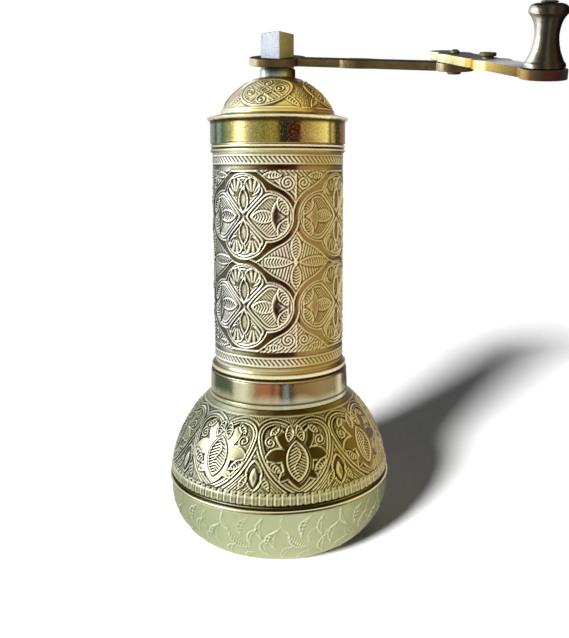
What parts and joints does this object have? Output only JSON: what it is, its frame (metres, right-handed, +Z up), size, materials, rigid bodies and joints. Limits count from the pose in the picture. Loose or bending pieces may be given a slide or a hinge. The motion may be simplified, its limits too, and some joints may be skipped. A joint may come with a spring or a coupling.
{
  "type": "hand coffee mill",
  "caption": "Tall round brass coffee mill with a bulb-shaped foot that pulls apart, a domed lid, inner burrs and a folding crank with a turned knob.",
  "frame": {"origin": "centre of the flat that the mill stands on, on the shaft's axis", "axes": "+Z up along the shaft's axis, -Y towards the viewer, +X the side that the crank reaches out to"},
  "size_m": [0.1154, 0.1178, 0.176],
  "materials": {
    "cup_brass": "satin",
    "inner_brass": "satin",
    "bulb_brass": "polished, worn",
    "collar_brass": "polished",
    "tube_brass": "polished, engraved",
    "burr_steel": "rough",
    "screw_steel": "satin",
    "shaft_steel": "satin",
    "lid_brass": "polished",
    "inner_link_bronze": "aged",
    "rivet_bronze": "aged",
    "outer_link_bronze": "aged",
    "knob_bronze": "aged"
  },
  "bodies": {
    "catch_cup": {"catch_cup": "cup_brass", "cup_sleeve": "inner_brass"},
    "mill_body": {"upper_bulb": "bulb_brass", "bulb_edge_ring": "bulb_brass", "neck_collar": "collar_brass", "hopper_tube": "tube_brass", "tube_foot_bead": "collar_brass", "lid_stop_bead": "collar_brass", "burr_housing": "inner_brass", "outer_burr": "burr_steel", "burr_clamp": "inner_brass", "clamp_screws": "screw_steel", "upper_bridge": "inner_brass", "shaft_bush": "inner_brass", "lower_bridge": "inner_brass", "bridge_screws": "screw_steel"},
    "lid": {"lid_band": "lid_brass", "lid_dome": "lid_brass"},
    "thrust": {"thrust_ball": "shaft_steel"},
    "adjuster": {"adjusting_screw": "screw_steel"},
    "shaft": {"drive_shaft": "shaft_steel", "inner_burr": "burr_steel", "burr_washer": "screw_steel", "burr_nut": "screw_steel"},
    "crank": {"inner_link": "inner_link_bronze", "fold_rivet": "rivet_bronze"},
    "outer_arm": {"outer_link": "outer_link_bronze", "fold_lug": "rivet_bronze", "knob_spindle": "rivet_bronze"},
    "knob": {"knob": "knob_bronze"}
  },
  "joints": [
    {"name": "body_lift", "type": "slide", "parent": "catch_cup", "child": "mill_body", "axis": [0, 0, 1], "range_m": [0, 0.04]},
    {"name": "lid_lift", "type": "slide", "parent": "mill_body", "child": "lid", "axis": [0, 0, 1], "range_m": [0, 0.045]},
    {"name": "shaft_rise", "type": "slide", "parent": "mill_body", "child": "thrust", "axis": [0, 0, 1], "range_m": [0, 0.0008]},
    {"name": "adjust_turn", "type": "hinge", "parent": "thrust", "child": "adjuster", "pos_m": [0, 0, 0.04], "axis": [0, 0, 1], "range_deg": [0, 290]},
    {"name": "crank_turn", "type": "hinge", "parent": "thrust", "child": "shaft", "pos_m": [0, 0, 0.1], "axis": [0, 0, 1], "continuous": true},
    {"name": "crank_lift", "type": "slide", "parent": "shaft", "child": "crank", "axis": [0, 0, 1], "range_m": [0, 0.045]},
    {"name": "fold", "type": "hinge", "parent": "crank", "child": "outer_arm", "pos_m": [0.05659, -0.02281, 0.16206], "axis": [-0.0085, -0.2258, 0.9741], "range_deg": [-122, 220]},
    {"name": "knob_spin", "type": "hinge", "parent": "outer_arm", "child": "knob", "pos_m": [0.07057, -0.0707, 0.15519], "axis": [-0.0085, -0.2258, 0.9741], "continuous": true}
  ],
  "couplings": [
    {"joint": "adjust_turn", "follows": "shaft_rise", "rad_per_m": 6283.2},
    {"joint": "crank_lift", "follows": "lid_lift", "ratio": 1}
  ]
}
